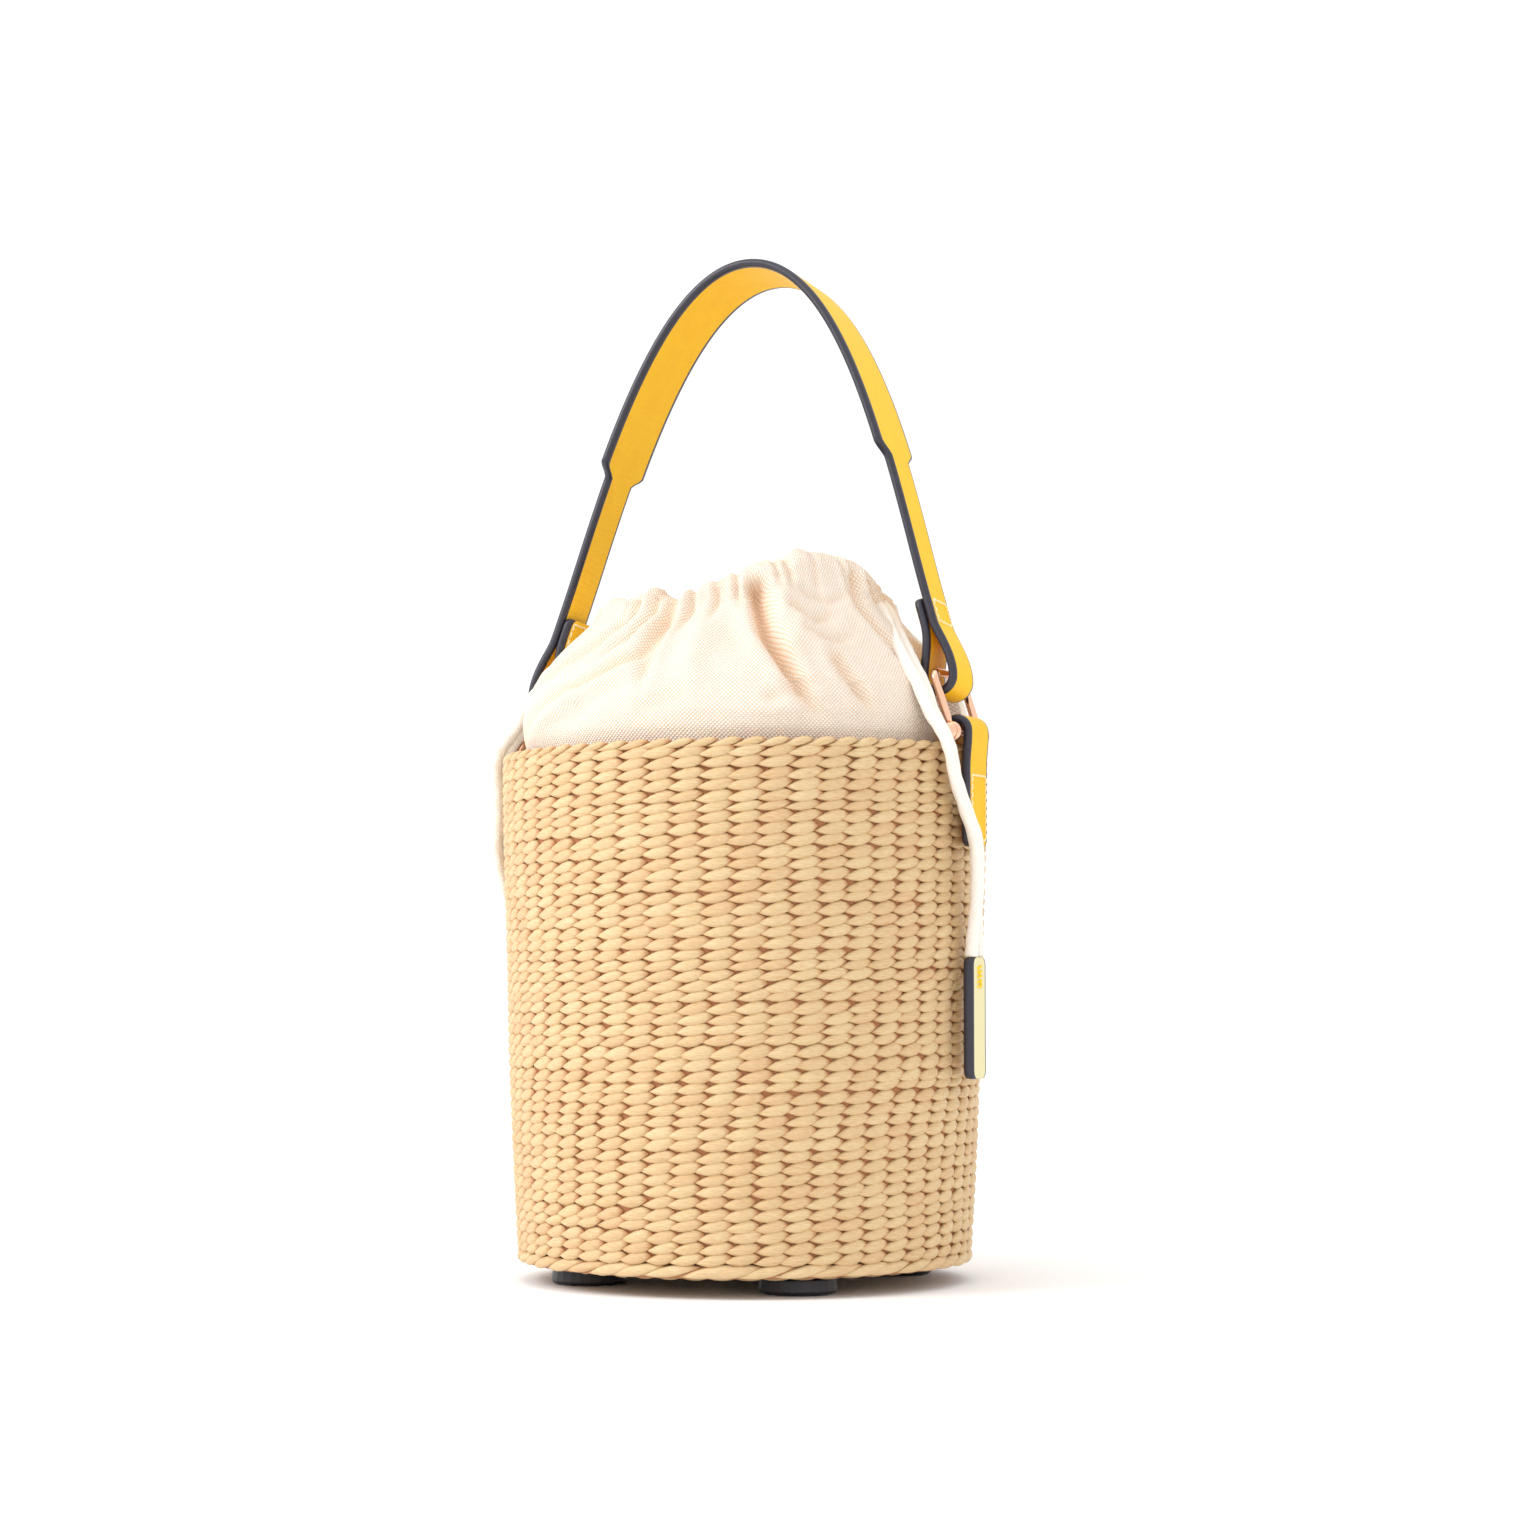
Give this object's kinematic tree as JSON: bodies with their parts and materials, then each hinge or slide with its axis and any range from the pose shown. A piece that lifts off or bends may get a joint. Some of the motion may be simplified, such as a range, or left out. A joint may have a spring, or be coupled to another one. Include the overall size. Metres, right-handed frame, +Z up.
{
  "type": "bucket bag",
  "caption": "Twined straw bucket bag with a gathered canvas drawstring pouch, a leather arch handle hung on metal shackles, leather pulls on cotton cords, and round feet.",
  "frame": {"origin": "centre of the basket's footprint, on the surface it stands on", "axes": "+Z up; X along the handle's span, through the two side tabs; -Y is the front, where the drawcords cross the rim"},
  "size_m": [0.2016, 0.1794, 0.3793],
  "materials": {
    "straw": "twined dried rush, satin",
    "fibreboard": "plain pressed board",
    "black_plastic": "satin moulded",
    "steel": "plain",
    "canvas": "plain-woven cotton, matt",
    "cotton_cord": "round braided cotton, matt",
    "yellow_leather": "dyed, semi-gloss, with painted dark edges",
    "rose_gold": "polished plating"
  },
  "bodies": {
    "basket": {"basket_wall": "straw", "base_border": "straw", "basket_base": "straw", "base_board": "fibreboard", "foot_right_back": "black_plastic", "foot_rivet_right_back": "steel", "foot_washer_right_back": "steel", "foot_left_back": "black_plastic", "foot_rivet_left_back": "steel", "foot_washer_left_back": "steel", "foot_left_front": "black_plastic", "foot_rivet_left_front": "steel", "foot_washer_left_front": "steel", "foot_right_front": "black_plastic", "foot_rivet_right_front": "steel", "foot_washer_right_front": "steel", "pouch_lining": "canvas", "pouch_collar": "canvas", "pouch_casing": "canvas", "drawcord_loop_left": "cotton_cord", "drawcord_loop_right": "cotton_cord", "drawcord_left_front": "cotton_cord", "drawcord_left_back": "cotton_cord", "drawcord_right_front": "cotton_cord", "drawcord_right_back": "cotton_cord", "tab_left_outer": "yellow_leather", "tab_left_inner": "yellow_leather", "tab_right_outer": "yellow_leather", "tab_right_inner": "yellow_leather"},
    "handle": {"handle_strap": "yellow_leather", "handle_lining": "yellow_leather"},
    "shackle_left": {"shackle_left": "rose_gold", "shackle_pin_left": "rose_gold"},
    "shackle_right": {"shackle_right": "rose_gold", "shackle_pin_right": "rose_gold"},
    "pull_left": {"pull_left_front": "yellow_leather", "pull_left_back": "yellow_leather"},
    "pull_right": {"pull_right_front": "yellow_leather", "pull_right_back": "yellow_leather"}
  },
  "joints": [
    {"name": "handle_swing", "type": "hinge", "parent": "basket", "child": "handle", "pos_m": [0, 0, 0.219], "axis": [1, 0, 0], "range_deg": [-12, 19]},
    {"name": "shackle_left_pivot", "type": "hinge", "parent": "basket", "child": "shackle_left", "pos_m": [-0.0886, 0, 0.1972], "axis": [0, 1, 0], "range_deg": [-3, 3]},
    {"name": "shackle_right_pivot", "type": "hinge", "parent": "basket", "child": "shackle_right", "pos_m": [0.0886, 0, 0.1972], "axis": [0, 1, 0], "range_deg": [-3, 3]},
    {"name": "pull_left_swing", "type": "hinge", "parent": "basket", "child": "pull_left", "pos_m": [-0.09294, -0.00325, 0.1175], "axis": [-0.0349, 0.9994, 0], "range_deg": [-3, 90]},
    {"name": "pull_right_swing", "type": "hinge", "parent": "basket", "child": "pull_right", "pos_m": [0.09294, -0.00325, 0.1175], "axis": [-0.0349, -0.9994, 0], "range_deg": [-3, 90]}
  ]
}
